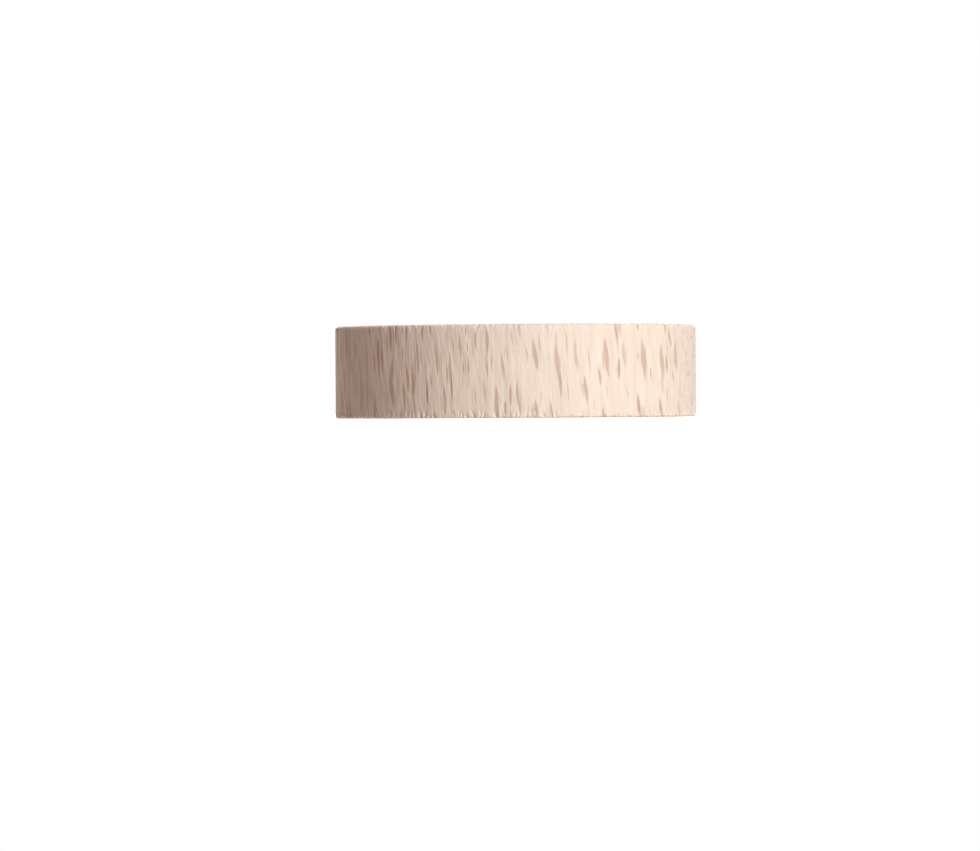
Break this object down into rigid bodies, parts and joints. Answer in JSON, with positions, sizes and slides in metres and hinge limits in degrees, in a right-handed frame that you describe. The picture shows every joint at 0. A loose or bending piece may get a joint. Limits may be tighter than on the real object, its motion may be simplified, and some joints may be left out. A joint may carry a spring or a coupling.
{
  "type": "checkers piece",
  "caption": "Plain round disc of bare beech with eased edges, a checkers piece that lies flat on the board and stacks on its own kind.",
  "frame": {"origin": "middle of the lower face, which lies on the board", "axes": "+Z along the disc's axis and the wood's fibres, up from the board; the disc is round, so +X is chosen so that -Y faces the viewer of the picture"},
  "size_m": [0.05, 0.05, 0.0127],
  "materials": {
    "beech": "bare sanded beech, matt, with brown ray flecks along the rim and end grain on both faces"
  },
  "bodies": {
    "root": {"beech_disc": "beech"}
  },
  "joints": []
}
